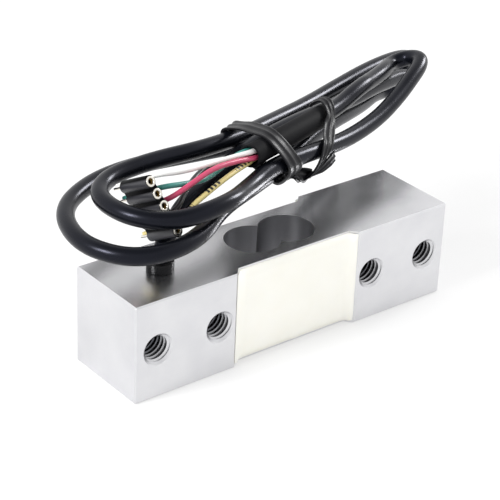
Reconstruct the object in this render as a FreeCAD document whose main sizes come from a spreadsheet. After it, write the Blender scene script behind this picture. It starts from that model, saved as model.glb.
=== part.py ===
import FreeCAD, Part
import math
import os

import Sketcher

# Weighing load cell: a machined beam with gauges under silicone, and a cable folded into a tied hank.
# Frame: origin at the middle of the beam's underside, +X along the beam away from the cable end, +Z up.

doc = FreeCAD.newDocument("load_cell")
sheet = doc.addObject("Spreadsheet::Sheet", "Dims")

DIMENSIONS = (
    # beam
    ("block_length", 75.0),
    ("block_width", 19.0),
    ("block_height", 20.0),
    ("edge_break", 0.3),
    ("hole_inset", 5.0),
    ("hole_pitch", 14.0),
    ("tap_drill", 5.0),
    ("hole_mouth", 6.4),
    ("bore_diameter", 11.0),
    ("bore_spacing", 8.2),
    ("recess_length", 30.0),
    ("recess_depth", 1.8),
    ("recess_ramp", 1.6),
    ("cable_hole_inset", 12.0),
    ("cable_hole_diameter", 4.6),
    ("cable_hole_overrun", 0.9),
    ("passage_diameter", 1.6),
    ("passage_drop", 1.1),
    # gauges and wiring under the silicone
    ("gauge_length", 6.0),
    ("gauge_breadth", 4.0),
    ("gauge_thickness", 0.15),
    ("terminal_length", 3.2),
    ("terminal_breadth", 7.0),
    ("terminal_thickness", 0.5),
    ("terminal_gap", 0.4),
    ("lead_breadth", 0.5),
    ("lead_thickness", 0.2),
    ("lead_rise", 1.0),
    ("core_diameter", 0.7),
    ("core_spacing", 1.4),
    ("core_bend", 1.1),
    ("core_lift", 0.15),
    # silicone
    ("potting_gap", 0.9),
    ("potting_skin", 0.15),
    ("potting_inset", 0.4),
    ("meniscus_run", 2.8),
    ("meniscus_radius", 3.0),
    # cable and what is on it
    ("cable_diameter", 3.4),
    ("grommet_depth", 11.0),
    ("grommet_foot", 5.2),
    ("grommet_foot_height", 1.9),
    ("grommet_stub", 4.4),
    ("grommet_height", 2.2),
    ("grommet_clearance", 0.15),
    ("sleeve_diameter", 4.5),
    ("sleeve_clearance", 0.1),
    ("sleeve_overlap", 18.5),
    ("sleeve_overhang", 11.0),
    ("sleeve_lip", 0.2),
    ("wire_diameter", 1.22),
    ("strap_width", 4.2),
    ("strap_thickness", 0.7),
    ("strap_clearance", 0.42),
    ("twist_breadth", 2.6),
    ("twist_depth", 1.6),
    ("strip_breadth", 2.4),
    ("tail_breadth", 1.9),
    # socket strip
    ("strip_pitch", 2.54),
    ("barrel_diameter", 2.4),
    ("web_thickness", 1.6),
    ("housing_length", 7.4),
    ("contact_flange", 2.0),
    ("flange_depth", 0.5),
    ("flange_proud", 0.15),
    ("contact_barrel", 1.5),
    ("contact_hole", 1.0),
    ("contact_hole_depth", 5.0),
    ("funnel_mouth", 1.2),
    ("funnel_depth", 0.4),
    ("tail_diameter", 0.5),
    ("tail_reach", 3.0),
    ("clip_wall", 0.1),
    ("clip_throat", 0.56),
    ("clip_length", 3.4),
)

for row, (alias, value) in enumerate(DIMENSIONS, start=1):
    sheet.set("A%d" % row, alias)
    sheet.set("B%d" % row, str(value))
    sheet.setAlias("B%d" % row, alias)
doc.recompute()


class Size:
    """A length: its worth now, and the expression that ties it to the sheet."""

    def __init__(self, worth, text):
        self.worth = worth
        self.text = text

    def joined(self, sign, other, worth):
        return Size(worth, "(%s %s %s)" % (self.text, sign, other.text))

    def __add__(self, other):
        other = tied(other)
        return self.joined("+", other, self.worth + other.worth)

    def __sub__(self, other):
        other = tied(other)
        return self.joined("-", other, self.worth - other.worth)

    def __mul__(self, other):
        other = tied(other)
        return self.joined("*", other, self.worth * other.worth)

    def __truediv__(self, other):
        other = tied(other)
        return self.joined("/", other, self.worth / other.worth)

    def __neg__(self):
        return tied(0) - self


def tied(value):
    """A plain number as a Size, and a Size as it is."""
    if isinstance(value, Size):
        return value
    return Size(float(value), "(%r)" % float(value))


def dim(alias):
    return Size(float(sheet.get(alias)), "Dims.%s" % alias)


def bind(thing, **sizes):
    """Ties properties to sizes; x, y and z are the object's place."""
    for name, value in sizes.items():
        target = "Placement.Base." + name if name in ("x", "y", "z") else name
        thing.setExpression(target, tied(value).text)
    return thing


def sketch_on(body, role, name):
    plane = next(item for item in body.Origin.OriginFeatures if item.Role == role)
    sketch = body.newObject("Sketcher::SketchObject", name)
    sketch.AttachmentSupport = (plane, [""])
    sketch.MapMode = "FlatFace"
    return sketch


def place_point(sketch, geometry, end, corner):
    for kind, value in zip(("DistanceX", "DistanceY"), corner):
        value = tied(value)
        index = sketch.addConstraint(Sketcher.Constraint(kind, -1, 1, geometry, end, value.worth))
        sketch.setExpression("Constraints[%d]" % index, value.text)


def closed_profile(sketch, corners):
    """A closed outline of straight lines, each corner tied to the sheet."""
    points = [FreeCAD.Vector(tied(x).worth, tied(y).worth, 0) for x, y in corners]
    count = len(points)
    for index, point in enumerate(points):
        sketch.addGeometry(Part.LineSegment(point, points[(index + 1) % count]), False)
    for index in range(count):
        sketch.addConstraint(Sketcher.Constraint("Coincident", index, 2, (index + 1) % count, 1))
    for index, corner in enumerate(corners):
        place_point(sketch, index, 1, corner)


def circle_profile(sketch, centre, diameter):
    diameter = tied(diameter)
    middle = FreeCAD.Vector(tied(centre[0]).worth, tied(centre[1]).worth, 0)
    index = sketch.addGeometry(Part.Circle(middle, FreeCAD.Vector(0, 0, 1), diameter.worth / 2), False)
    size = sketch.addConstraint(Sketcher.Constraint("Diameter", index, diameter.worth))
    sketch.setExpression("Constraints[%d]" % size, diameter.text)
    place_point(sketch, index, 3, centre)


def pocket(body, sketch, name, side="One side", length=None, up=False):
    cut = body.newObject("PartDesign::Pocket", name)
    cut.Profile = sketch
    cut.SideType = side
    cut.Reversed = up
    if length is None:
        cut.Type = "ThroughAll"
    else:
        bind(cut, Length=length)
    return cut


def turned(label, corners, placement=None):
    """A solid of revolution about its own Z axis from (radius, height) corners."""
    body = doc.addObject("PartDesign::Body", label)
    sketch = sketch_on(body, "XZ_Plane", label + "_profile")
    closed_profile(sketch, corners)
    spin = body.newObject("PartDesign::Revolution", label + "_turn")
    spin.Profile = sketch
    spin.ReferenceAxis = (sketch, ["V_Axis"])
    spin.Angle = 360
    if placement is not None:
        body.Placement = placement
    return body


def box(name, length, width, height, x, y, z):
    block = doc.addObject("Part::Box", name)
    return bind(block, Length=length, Width=width, Height=height, x=x, y=y, z=z)


def cut_from(name, base, tools):
    """base less all the tools, as one object."""
    tool = tools[0]
    if len(tools) > 1:
        tool = fused(name + "_tools", tools)
    result = doc.addObject("Part::Cut", name)
    result.Base = base
    result.Tool = tool
    return result


def fused(name, shapes):
    joined = doc.addObject("Part::MultiFuse", name)
    joined.Shapes = shapes
    return joined


def solid(name, shape):
    feature = doc.addObject("Part::Feature", name)
    feature.Shape = shape
    return feature


nodes = []
SIDES = (("front", -1), ("rear", 1))
HANDS = (("left", -1), ("right", 1))

half_length = dim("block_length") / 2
half_width = dim("block_width") / 2
mid_height = dim("block_height") / 2
terminal_low = mid_height - dim("terminal_breadth") / 2
passage_height = terminal_low - dim("passage_drop")
half_recess = dim("recess_length") / 2
floor_offset = half_width - dim("recess_depth")

# Beam: a bar with broken edges, a ramped recess in each side face, and the bores of the weighing section
beam = doc.addObject("PartDesign::Body", "beam")
plan = sketch_on(beam, "XY_Plane", "beam_plan")
closed_profile(plan, (
    (-half_length, -half_width), (half_length, -half_width),
    (half_length, half_width), (-half_length, half_width)))
bar = beam.newObject("PartDesign::Pad", "beam_bar")
bar.Profile = plan
bind(bar, Length=dim("block_height"))
doc.recompute()
bar_volume = bar.Shape.Volume

edges = beam.newObject("PartDesign::Chamfer", "beam_edges")
edges.Base = (bar, ["Edge%d" % number for number in range(1, 13)])
bind(edges, Size=dim("edge_break"))

for side, sign in SIDES:
    recess = sketch_on(beam, "XY_Plane", "recess_%s_plan" % side)
    inner = half_recess - dim("recess_ramp")
    face = half_width * sign
    floor = floor_offset * sign
    closed_profile(recess, ((-half_recess, face), (-inner, floor), (inner, floor), (half_recess, face)))
    pocket(beam, recess, "recess_%s" % side, up=True)

for hand, sign in HANDS:
    bore = sketch_on(beam, "XY_Plane", "bore_%s_plan" % hand)
    circle_profile(bore, (dim("bore_spacing") / 2 * sign, 0), dim("bore_diameter"))
    pocket(beam, bore, "bore_%s" % hand, up=True)

# Tapped cross holes, two at each end, at mid height
outer_hole = half_length - dim("hole_inset")
inner_hole = outer_hole - dim("hole_pitch")
hole_plan = sketch_on(beam, "XZ_Plane", "hole_plan")
for hand, sign in HANDS:
    for place in (outer_hole, inner_hole):
        circle_profile(hole_plan, (place * sign, mid_height), dim("tap_drill"))
pocket(beam, hole_plan, "tapped_holes", side="Symmetric")

# Blind hole for the cable in the top face
cable_x = dim("cable_hole_inset") - dim("block_length") / 2
cable_plan = sketch_on(beam, "XY_Plane", "cable_hole_plan")
cable_plan.setExpression("AttachmentOffset.Base.z", dim("block_height").text)
circle_profile(cable_plan, (cable_x, 0), dim("cable_hole_diameter"))
cable_hole_depth = dim("block_height") - passage_height + dim("cable_hole_overrun")
cable_hole = pocket(beam, cable_plan, "cable_hole", length=cable_hole_depth)
doc.recompute()


def mouth_edges(shape):
    """Names of the tapped holes' rims on the two side faces."""
    names = []
    for number, edge in enumerate(shape.Edges, start=1):
        round_edge = isinstance(edge.Curve, Part.Circle)
        if round_edge and abs(abs(edge.Curve.Center.y) - half_width.worth) < 1e-6:
            names.append("Edge%d" % number)
    return names


mouths = beam.newObject("PartDesign::Chamfer", "hole_mouths")
mouths.Base = (cable_hole, mouth_edges(cable_hole.Shape))
bind(mouths, Size=(dim("hole_mouth") - dim("tap_drill")) / 2)
doc.recompute()

# Wiring passages, drilled from each recess floor down to the foot of the cable hole, below the tapped holes
core_radius = dim("core_diameter") / 2
terminal_x = -(half_recess - dim("recess_ramp") - dim("terminal_gap"))
landing_x = terminal_x + dim("terminal_length") / 2
landing_offset = floor_offset + core_radius + dim("core_lift")
PASSAGE_PAST_ENDS = 1.0

passages = []
for side, sign in SIDES:
    start = FreeCAD.Vector(cable_x.worth, dim("core_spacing").worth / 2 * sign, passage_height.worth)
    end = FreeCAD.Vector(landing_x.worth, landing_offset.worth * sign, passage_height.worth)
    along = (end - start).normalize()
    drill = doc.addObject("Part::Cylinder", "passage_%s" % side)
    bind(drill, Radius=dim("passage_diameter") / 2)
    drill.Height = (end - start).Length + PASSAGE_PAST_ENDS
    drill.Placement = FreeCAD.Placement(start, FreeCAD.Rotation(FreeCAD.Vector(0, 0, 1), along))
    passages.append(drill)
nodes.append(cut_from("beam_body", beam, passages))


# Gauges, terminals and leads on the recess floors; a cable core comes up each passage to its terminal
def flat_on_floor(name, sign, length, breadth, thickness, left, low):
    """A thin plate lying on the recess floor of one side."""
    near = floor_offset if sign > 0 else -floor_offset - thickness
    return box(name, length, thickness, breadth, left, near, low)


ARC_SHARE = 0.45
VOLUME_TOLERANCE = 0.01


def rounded_path(points, bend=None):
    """Straight runs joined by tangent arcs, each as large as its two runs allow, or of the bend given."""
    points = [FreeCAD.Vector(*point) for point in points]
    parts = []
    radii = []
    last = points[0]
    for before, corner, after in zip(points, points[1:], points[2:]):
        arrive = (corner - before).normalize()
        leave = (after - corner).normalize()
        half_turn = arrive.getAngle(leave) / 2
        reach = ARC_SHARE * min((corner - before).Length, (after - corner).Length)
        radius = reach / math.tan(half_turn)
        if bend is not None:
            radius = min(radius, bend)
            reach = radius * math.tan(half_turn)
        inward = (leave - arrive).normalize()
        middle = corner + inward * (radius / math.cos(half_turn) - radius)
        begin = corner - arrive * reach
        finish = corner + leave * reach
        parts.append(Part.LineSegment(last, begin).toShape())
        parts.append(Part.Arc(begin, middle, finish).toShape())
        radii.append(radius)
        last = finish
    parts.append(Part.LineSegment(last, points[-1]).toShape())
    return Part.Wire(parts), radii


def tube(name, points, diameter, bend=None):
    """A round tube along the rounded path; its volume is compared with its section times its length."""
    path, radii = rounded_path(points, bend)
    first = FreeCAD.Vector(*points[0])
    ahead = FreeCAD.Vector(*points[1]) - first
    section = Part.Face(Part.Wire([Part.makeCircle(diameter / 2, first, ahead)]))
    shape = path.makePipe(section)
    wanted = section.Area * path.Length
    if abs(shape.Volume - wanted) > VOLUME_TOLERANCE * wanted:
        raise RuntimeError("%s: volume %.2f, section times length %.2f" % (name, shape.Volume, wanted))
    print("%s: length %.1f, smallest bends %s" % (
        name, path.Length, ", ".join("%.2f" % radius for radius in sorted(radii)[:4])))
    return solid(name, shape)


gauge_low = mid_height - dim("gauge_breadth") / 2
terminal_end = terminal_x + dim("terminal_length")
upper_lead = mid_height + dim("gauge_breadth") / 2 + dim("lead_rise")

for side, sign in SIDES:
    buried = []
    gauge_left = {}
    for hand, way in HANDS:
        left = dim("bore_spacing") / 2 * way - dim("gauge_length") / 2
        gauge_left[hand] = left
        buried.append(flat_on_floor(
            "gauge_%s_%s" % (side, hand), sign, dim("gauge_length"), dim("gauge_breadth"),
            dim("gauge_thickness"), left, gauge_low))
    buried.append(flat_on_floor(
        "terminal_%s" % side, sign, dim("terminal_length"), dim("terminal_breadth"),
        dim("terminal_thickness"), terminal_x, terminal_low))
    lead = (dim("lead_breadth"), dim("lead_thickness"))
    buried.append(flat_on_floor(
        "lead_%s_left" % side, sign, gauge_left["left"] - terminal_end, *lead, terminal_end,
        mid_height - dim("lead_breadth") / 2))
    over = flat_on_floor(
        "lead_%s_over" % side, sign, gauge_left["right"] + dim("lead_breadth") - terminal_end, *lead,
        terminal_end, upper_lead)
    down = flat_on_floor(
        "lead_%s_down" % side, sign, dim("lead_breadth"), dim("lead_rise"), dim("lead_thickness"),
        gauge_left["right"], upper_lead - dim("lead_rise"))
    buried.append(fused("lead_%s_right" % side, [over, down]))
    core_start = (cable_x.worth, dim("core_spacing").worth / 2 * sign)
    core_land = (landing_x.worth, landing_offset.worth * sign)
    cable_end_z = dim("block_height").worth - dim("grommet_depth").worth
    buried.append(tube(
        "cores_%s" % side,
        (core_start + (cable_end_z,), core_start + (passage_height.worth,),
         core_land + (passage_height.worth,), core_land + (terminal_low.worth,)),
        dim("core_diameter").worth, dim("core_bend").worth))
    nodes.extend(buried)

    # Silicone poured over them: level with a step below the face, drawn up the ramps at both ends
    fill = doc.addObject("PartDesign::Body", "fill_%s" % side)
    fill_plan = sketch_on(fill, "XY_Plane", "fill_%s_plan" % side)
    rim_x = half_recess - dim("recess_ramp") * dim("potting_skin") / dim("recess_depth")
    rim_y = (half_width - dim("potting_skin")) * sign
    foot_x = half_recess - dim("recess_ramp")
    foot_y = floor_offset * sign
    level_x = half_recess - dim("meniscus_run")
    level_y = (half_width - dim("potting_gap")) * sign
    closed_profile(fill_plan, (
        (-rim_x, rim_y), (-foot_x, foot_y), (foot_x, foot_y),
        (rim_x, rim_y), (level_x, level_y), (-level_x, level_y)))
    pour = fill.newObject("PartDesign::Pad", "fill_%s_pour" % side)
    pour.Profile = fill_plan
    bind(pour, Length=dim("block_height") - dim("potting_inset") * 2)
    bind(fill, z=dim("potting_inset"))
    doc.recompute()
    bends = [
        "Edge%d" % number for number, edge in enumerate(pour.Shape.Edges, start=1)
        if all(abs(abs(vertex.X) - level_x.worth) < 1e-6 for vertex in edge.Vertexes)
        and abs(edge.Vertexes[0].X - edge.Vertexes[1].X) < 1e-6]
    meniscus = fill.newObject("PartDesign::Fillet", "fill_%s_meniscus" % side)
    meniscus.Base = (pour, bends)
    bind(meniscus, Radius=dim("meniscus_radius"))
    nodes.append(cut_from("potting_%s" % side, fill, buried))

# Grommet in the cable hole: a bush whose wider head stands on the top face round the cable
bore_radius = dim("cable_diameter") / 2 + dim("grommet_clearance")
grommet = turned("cable_grommet", (
    (bore_radius, -dim("grommet_depth")),
    (dim("cable_hole_diameter") / 2, -dim("grommet_depth")),
    (dim("cable_hole_diameter") / 2, 0),
    (dim("grommet_foot") / 2, 0),
    (dim("grommet_foot") / 2, dim("grommet_foot_height")),
    (dim("grommet_stub") / 2, dim("grommet_height")),
    (bore_radius, dim("grommet_height"))))
bind(grommet, x=cable_x, z=dim("block_height"))
nodes.append(grommet)

# Cable: out of the top face, then six strands with three folds at the right and two loops at the left
CABLE_ROUTE = (
    # rise from the hole, leaning to the right
    (-25.5, 0, 9), (-25.5, 0, 17.5), (-25.48, 0.03, 23.8), (-22.3, 1.3, 26.4), (-17.6, 4.4, 29.1),
    (-7.8, 8.2, 30.2),
    # middle strand
    (2.9, 12.3, 31.8), (15, 15.6, 32.3), (27.2, 18.6, 31.8), (38.4, 21.8, 30.8), (48.2, 25.5, 30.2),
    (54.3, 27.9, 29.2), (58.6, 29.7, 28.5),
    # inner fold at the right
    (63.1, 30.8, 27.3), (63.6, 34.4, 24.7), (60.2, 35.8, 22.5),
    # strand below the middle one
    (56.1, 34.1, 23.4), (49.6, 30.3, 24.1), (41.6, 25.6, 25.8), (31.3, 20.2, 27.7), (20.1, 14.5, 28.5),
    (9.2, 8.4, 28.4), (-2.4, 3.3, 28.8),
    # wide loop at the left
    (-13.6, -2.2, 30), (-23.8, -9.5, 30), (-33.4, -10.9, 30), (-39.6, -7.5, 30), (-42.5, 1.3, 30),
    (-38.4, 13.2, 30), (-27.8, 20.3, 29.8),
    # back strand, under the others
    (-15.4, 23.5, 29), (-2.9, 22, 28.7), (9.6, 22, 27.6), (21.8, 25.3, 25.9), (33.5, 29.3, 24.2),
    (45.3, 33.9, 22.6), (54.7, 37.5, 21.2), (61.6, 39.7, 20.3), (66.8, 41.3, 19.9),
    # rear fold at the right
    (71.1, 42.6, 20.3), (73.4, 42, 23.4), (72.3, 39.9, 26.6),
    # rear strand
    (67.6, 38.2, 28.4), (60.7, 36.2, 29.3), (52.7, 34, 29.6), (42.3, 30.8, 29.5), (30.5, 26.5, 29.8),
    (18.8, 22, 31), (7.2, 17.3, 32.4), (-4.9, 13.9, 33.8),
    # upper loop at the left
    (-17.6, 14.3, 34.2), (-28.5, 13, 34.2), (-34.5, 7.5, 34.1), (-34.6, -2.4, 34.3), (-28.6, -8.6, 34),
    # front strand
    (-16.9, -8.8, 34.7), (-6.9, -1.9, 32.4), (1.4, 1.7, 33.05), (13.4, 4.7, 31.7), (25.2, 8.4, 29.8),
    (37.3, 12.4, 29.9), (46.5, 16, 31.8), (52.1, 18.5, 33.5),
    # outer fold at the right
    (56.6, 20.8, 34.6), (59, 23.3, 35.1), (58.5, 27.1, 34), (54.9, 28.3, 32.8),
    # last strand, into the sleeve
    (50.2, 24.8, 33.7), (43.8, 21.7, 34), (38.5, 19.1, 34.7), (28.5, 15.6, 33.15), (17.77, 11.32, 34.1),
    (8.05, 7.35, 34.97),
)
# the routes were laid out from a cable hole with its mouth here, and move with the hole
ROUTE_MOUTH = FreeCAD.Vector(-25.5, 0, 20)
hank_shift = FreeCAD.Vector(cable_x.worth, 0, dim("block_height").worth) - ROUTE_MOUTH


def moved(points):
    return [tuple(FreeCAD.Vector(*point) + hank_shift) for point in points]


cable_route = moved(CABLE_ROUTE)
nodes.append(tube("signal_cable", cable_route, dim("cable_diameter").worth))

# Heat-shrink sleeve over the cable end, in line with the last run, open towards the wires
cable_tip = FreeCAD.Vector(*cable_route[-1])
tip_way = (cable_tip - FreeCAD.Vector(*cable_route[-2])).normalize()
sleeve_place = FreeCAD.Placement(cable_tip, FreeCAD.Rotation(FreeCAD.Vector(0, 0, 1), tip_way))
sleeve_bore = dim("cable_diameter") / 2 + dim("sleeve_clearance")
sleeve_outside = dim("sleeve_diameter") / 2
nodes.append(turned("cable_sleeve", (
    (sleeve_bore, -dim("sleeve_overlap")),
    (sleeve_outside - dim("sleeve_lip"), -dim("sleeve_overlap")),
    (sleeve_outside, dim("sleeve_lip") - dim("sleeve_overlap")),
    (sleeve_outside, dim("sleeve_overhang")),
    (sleeve_bore, dim("sleeve_overhang"))), sleeve_place))

# Five wires: from the cable end through the sleeve, then fanned out to the tails of the socket strip
WIRE_ROUTES = {
    "white": (
        (8.34, 6.76, 35.84), (3.29, 4.69, 36.3), (-1.75, 2.57, 36.83), (-7.78, 2.46, 36.95),
        (-14.75, 1.18, 37.74), (-21.24, 0, 38.51), (-26.41, 0.28, 39.29), (-27.55, 3.61, 37.28),
        (-28.19, 6.53, 35.65), (-29.46, 8.19, 34.41)),
    "green": (
        (7.85, 7.95, 35.87), (2.8, 5.89, 36.32), (-2.91, 3.65, 36.86), (-6.3, 4.1, 36), (-10.2, 2.9, 35),
        (-15.33, 0.88, 34.89), (-20.84, -0.45, 36.2), (-25.64, -0.77, 37.1), (-26.78, 2.56, 35.1),
        (-27.42, 5.48, 33.47), (-28.7, 7.14, 32.22)),
    "red": (
        (8.38, 6.37, 34.62), (3.34, 4.31, 35.07), (-1.7, 2.15, 35.48), (-8.33, 0.84, 36.92),
        (-14.47, -0.57, 37.66), (-20.12, -1.87, 36.68), (-24.88, -1.82, 34.92), (-26.02, 1.51, 32.92),
        (-26.66, 4.43, 31.29), (-27.93, 6.09, 30.04)),
    "black": (
        (7.6, 8.3, 34.65), (2.56, 6.24, 35.11), (-3.22, 3.89, 35.61), (-6.3, 5, 34.7), (-10.6, 5, 35.2),
        (-15.04, 3.42, 35.11), (-20.6, -0.3, 34.35), (-24.11, -2.87, 32.74), (-25.26, 0.46, 30.73),
        (-25.9, 3.38, 29.1), (-27.17, 5.04, 27.86)),
    "yellow": (
        (7.93, 7.32, 33.87), (2.89, 5.26, 34.33), (-2.2, 3.19, 34.68), (-7.6, 0.78, 35.13),
        (-12.66, -1.04, 34.85), (-17.63, -2.54, 33.98), (-20.94, -2.83, 32.6), (-23.35, -3.92, 30.56),
        (-24.49, -0.59, 28.55), (-25.13, 2.33, 26.92), (-26.4, 3.99, 25.68)),
}
for colour, route in WIRE_ROUTES.items():
    nodes.append(tube("wire_%s" % colour, moved(route), dim("wire_diameter").worth))

# Socket strip: five barrels in a row, each with a turned contact and a spring clip; +Z out of the mouths
STRIP_CENTRE = FreeCAD.Vector(-27.34, -3.39, 34.82)
STRIP_FACE = FreeCAD.Vector(0.1325, -0.8741, 0.4673)
STRIP_ROW = FreeCAD.Vector(0.301, -0.4137, -0.8592)
CONTACTS = 5
strip_place = FreeCAD.Placement(
    STRIP_CENTRE + hank_shift,
    FreeCAD.Rotation(STRIP_ROW, STRIP_FACE.cross(STRIP_ROW), STRIP_FACE, "ZXY"))
strip_row = [dim("strip_pitch") * (number - (CONTACTS - 1) / 2) for number in range(CONTACTS)]


def cylinder(name, diameter, height, x, z):
    return bind(doc.addObject("Part::Cylinder", name), Radius=diameter / 2, Height=height, x=x, z=z)


barrels = []
holes = []
for number, place in enumerate(strip_row, start=1):
    barrels.append(cylinder(
        "barrel_%d" % number, dim("barrel_diameter"), dim("housing_length"), place, -dim("housing_length")))
    holes.append(cylinder(
        "barrel_bore_%d" % number, dim("contact_barrel"), dim("housing_length"), place,
        -dim("housing_length")))
    holes.append(cylinder(
        "barrel_mouth_%d" % number, dim("contact_flange"), dim("flange_depth"), place, -dim("flange_depth")))
web = box(
    "barrel_web", dim("strip_pitch") * (CONTACTS - 1), dim("web_thickness"), dim("housing_length"),
    strip_row[0], -dim("web_thickness") / 2, -dim("housing_length"))
housing = cut_from("socket_housing", fused("barrel_row", barrels + [web]), holes)
housing.Placement = strip_place
nodes.append(housing)

barrel_radius = dim("contact_barrel") / 2
hole_radius = dim("contact_hole") / 2
tail_radius = dim("tail_diameter") / 2
funnel_foot = dim("flange_proud") - dim("funnel_depth")
contact_profile = (
    (0, -dim("housing_length") - dim("tail_reach")),
    (tail_radius, -dim("housing_length") - dim("tail_reach")),
    (tail_radius, -dim("housing_length")),
    (barrel_radius, -dim("housing_length")),
    (barrel_radius, -dim("flange_depth")),
    (dim("contact_flange") / 2, -dim("flange_depth")),
    (dim("contact_flange") / 2, dim("flange_proud")),
    (dim("funnel_mouth") / 2, dim("flange_proud")),
    (hole_radius, funnel_foot),
    (hole_radius, -dim("contact_hole_depth")),
    (0, -dim("contact_hole_depth")))
clip_top = funnel_foot
clip_waist = clip_top - dim("clip_length") / 3
clip_foot = clip_top - dim("clip_length")
throat = dim("clip_throat") / 2
clip_profile = (
    (hole_radius - dim("clip_wall"), clip_top),
    (hole_radius, clip_top),
    (hole_radius, clip_waist),
    (throat + dim("clip_wall"), clip_foot),
    (throat, clip_foot),
    (hole_radius - dim("clip_wall"), clip_waist))
for number, place in enumerate(strip_row, start=1):
    seat = strip_place.multiply(FreeCAD.Placement(FreeCAD.Vector(place.worth, 0, 0), FreeCAD.Rotation()))
    nodes.append(turned("socket_contact_%d" % number, contact_profile, seat))
    nodes.append(turned("contact_clip_%d" % number, clip_profile, seat))

# Twist tie: a flat strap round the strands, twisted at the front; one end is led up over the sleeve
HANK_ORIGIN = FreeCAD.Vector(0, 6, 0)
HANK_TURN = 21
# the turn round the strands: corners across the hank and up, and how its plane lies along the hank
TURN_CORNERS = (
    (8.4, 33), (-1.45, 35.95), (-2.05, 35.85), (-5.1, 32.55), (-1.3, 28.45), (4.5, 31), (8.35, 32.6))
TURN_SPAN = (-4.0, 18.0)
TURN_AT = 21.65
TURN_SLOPE = (0.301, -0.492)
# points of the twist and of both strap ends: across the hank, up, along it, and the flat side's heading
TWIST_ENDS = ((-4.9, 29.3, 5.8), (-4.7, 25.4, 14.2))
TWIST_STEPS = 4
TWIST_PER_STEP = 45
LED_UP = (
    (-5.2, 25.8, 12.6, 215), (-7.5, 28.3, 12.0, 205), (-8.35, 30.6, 12.7, 190), (-8.15, 32.55, 14.7, 150),
    (-6.9, 33.35, 17.4, 115), (-5.3, 34.0, 20.6, 120), (-4.25, 35.0, 22.5, 150), (-2.7, 36.5, 23.5, 115),
    (-0.9, 36.8, 24.3, 80), (1.2, 35.7, 25.0, 40), (1.95, 34.7, 25.3, 25))
TAIL = (
    (-4.9, 25.8, 12.4, 200), (-7.4, 27.6, 13.6, 190), (-8.5, 29.1, 15.2, 185), (-8.65, 29.85, 17, 185))
SLAB = 160.0

along = FreeCAD.Rotation(FreeCAD.Vector(0, 0, 1), HANK_TURN)
hank_place = FreeCAD.Placement(HANK_ORIGIN + hank_shift, along.multiply(FreeCAD.Rotation(
    FreeCAD.Vector(0, 1, 0), FreeCAD.Vector(0, 0, 1), FreeCAD.Vector(1, 0, 0), "ZXY")))
strap_width = dim("strap_width").worth
strap_thickness = dim("strap_thickness").worth
strap_inside = dim("cable_diameter").worth / 2 + dim("strap_clearance").worth


def strap_turn(corners, span):
    """A closed wall round the strands at the corners, between two places along the hank."""
    points = [FreeCAD.Vector(across, up, span[0]) for across, up in corners]
    core = Part.makePolygon(points + points[:1])
    inner = core.makeOffset2D(strap_inside)
    outer = core.makeOffset2D(strap_inside + strap_thickness)
    ring = Part.Face(outer).cut(Part.Face(inner))
    return ring.extrude(FreeCAD.Vector(0, 0, span[1] - span[0]))


def flat_section(middle, breadth_way, depth_way, breadth, depth):
    """A flat rectangle of the strap, across its run."""
    ways = ((-1, -1), (1, -1), (1, 1), (-1, 1))
    points = [
        middle + breadth_way * (breadth / 2 * right) + depth_way * (depth / 2 * up) for right, up in ways]
    return Part.makePolygon(points + points[:1])


def strap_end(route, breadth):
    """A strap end that runs through the route's points, its flat side turned as each one says."""
    middles = [FreeCAD.Vector(*point[:3]) for point in route]
    last = len(route) - 1
    sections = []
    for number, (across, up, place, facing) in enumerate(route):
        run = middles[min(number + 1, last)] - middles[max(number - 1, 0)]
        outward = FreeCAD.Vector(math.cos(math.radians(facing)), math.sin(math.radians(facing)), 0)
        sideways = run.cross(outward).normalize()
        outward = sideways.cross(run).normalize()
        sections.append(flat_section(middles[number], sideways, outward, breadth, strap_thickness))
    return Part.makeLoft(sections, True, True)


slab = Part.makeBox(SLAB, SLAB, strap_width, FreeCAD.Vector(-SLAB / 2, -SLAB / 2, -strap_width / 2))
slab.Placement = FreeCAD.Placement(FreeCAD.Vector(0, 0, TURN_AT), FreeCAD.Rotation(
    FreeCAD.Vector(0, 0, 1), FreeCAD.Vector(-TURN_SLOPE[0], -TURN_SLOPE[1], 1)))
turn = strap_turn(TURN_CORNERS, TURN_SPAN).common(slab)
twist_start, twist_end = [FreeCAD.Vector(*end) for end in TWIST_ENDS]
twist_sections = []
for step in range(TWIST_STEPS + 1):
    turning = FreeCAD.Rotation(FreeCAD.Vector(0, 0, 1), TWIST_PER_STEP * step)
    twist_sections.append(flat_section(
        twist_start + (twist_end - twist_start) * (step / TWIST_STEPS),
        turning.multVec(FreeCAD.Vector(1, 0, 0)), turning.multVec(FreeCAD.Vector(0, 1, 0)),
        dim("twist_breadth").worth, dim("twist_depth").worth))
twist = Part.makeLoft(twist_sections, True, True)
led_up = strap_end(LED_UP, dim("strip_breadth").worth)
tail = strap_end(TAIL, dim("tail_breadth").worth)
tie = turn.fuse([twist, led_up, tail]).removeSplitter()
tie_node = solid("twist_tie", tie)
tie_node.Placement = hank_place
nodes.append(tie_node)

doc.recompute()

# Every object has to be sound before anything is written
for item in doc.Objects:
    if "Invalid" in item.State or "Error" in item.State:
        raise RuntimeError("%s failed: %s" % (item.Label, item.State))
for node in nodes:
    if node.Shape.isNull() or not node.Shape.isValid():
        raise RuntimeError("%s has no valid shape" % node.Label)
if not beam.Shape.Volume < bar_volume:
    raise RuntimeError("the beam's pockets cut nothing")

os.makedirs("parts", exist_ok=True)
for node in nodes:
    node.Shape.exportStep("parts/%s.step" % node.Label)
    print("%s: %d solid(s), %.2f mm3" % (node.Label, len(node.Shape.Solids), node.Shape.Volume))
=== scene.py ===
import math

import bpy
from mathutils import Matrix, Vector


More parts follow.
